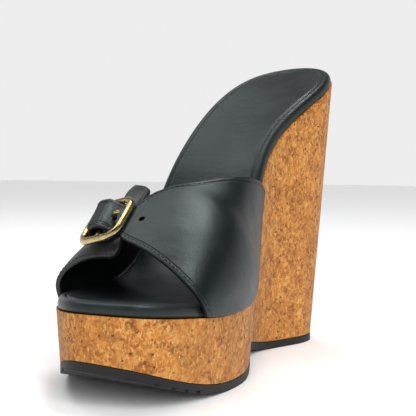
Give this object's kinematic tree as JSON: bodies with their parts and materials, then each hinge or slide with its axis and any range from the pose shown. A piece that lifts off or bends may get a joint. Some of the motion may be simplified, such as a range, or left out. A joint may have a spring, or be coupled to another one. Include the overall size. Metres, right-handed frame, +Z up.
{
  "type": "wedge slide sandal",
  "caption": "Right-foot open-toe slide with a cork-covered high wedge, thin rubber outsole, padded footbed and a wide leather band that narrows to a side buckle",
  "frame": {"origin": "middle of the bounding box's bottom, on the floor under the middle of the shoe", "axes": "+X points from the heel to the toe, +Y to the medial side (the wearer's left, as this is the right shoe), +Z up"},
  "size_m": [0.2068, 0.0888, 0.144],
  "materials": {
    "rubber": "matt",
    "cork": "agglomerated cork, satin",
    "leather": "smooth black, soft sheen",
    "brass": "antique, polished"
  },
  "bodies": {
    "root": {"outsole": "rubber", "cork_wedge": "cork", "footbed": "leather", "upper": "leather", "buckle_frame": "brass", "buckle_prong": "brass"}
  },
  "joints": []
}
